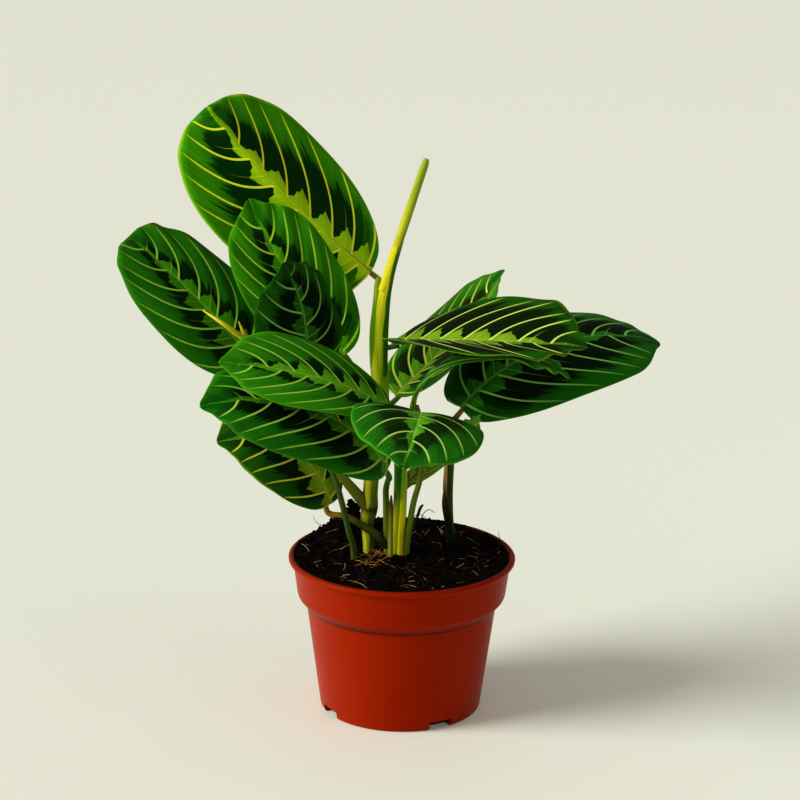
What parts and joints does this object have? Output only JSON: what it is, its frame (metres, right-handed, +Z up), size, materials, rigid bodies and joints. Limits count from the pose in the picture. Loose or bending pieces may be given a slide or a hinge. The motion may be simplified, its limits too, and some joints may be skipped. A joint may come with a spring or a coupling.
{
  "type": "potted lemon lime prayer plant",
  "caption": "Patterned-leaf prayer plant in a round tapered plastic nursery pot: dark green blades with lime midribs and veins on slim stalks, soil to the lip.",
  "frame": {"origin": "centre of the pot's flat base, on the surface it stands on", "axes": "+Z up along the pot's axis, -Y toward the side the picture shows, +X to that view's right"},
  "size_m": [0.2856, 0.2065, 0.319],
  "materials": {
    "pot": "satin terracotta plastic",
    "soil": "loose dark peat and coir",
    "stem": "smooth fleshy green",
    "rolled_leaf": "smooth yellow green",
    "dry_sheath": "dry and papery",
    "blade": "waxy, dark green with lime midrib and veins"
  },
  "bodies": {
    "root": {"pot": "pot", "soil": "soil", "shoot_main": "stem", "shoot_front": "stem", "shoot_left": "stem", "shoot_right": "stem", "new_leaf_roll": "rolled_leaf", "dry_sheath_front": "dry_sheath", "leaf_top": "blade", "leaf_second": "blade", "leaf_left": "blade", "leaf_shaded": "blade", "leaf_front_left": "blade", "leaf_lower_front": "blade", "leaf_low_left": "blade", "leaf_centre": "blade", "leaf_right_upper": "blade", "leaf_behind_right": "blade", "leaf_far_right": "blade", "leaf_edge_on": "blade", "leaf_underside": "blade"}
  },
  "joints": []
}
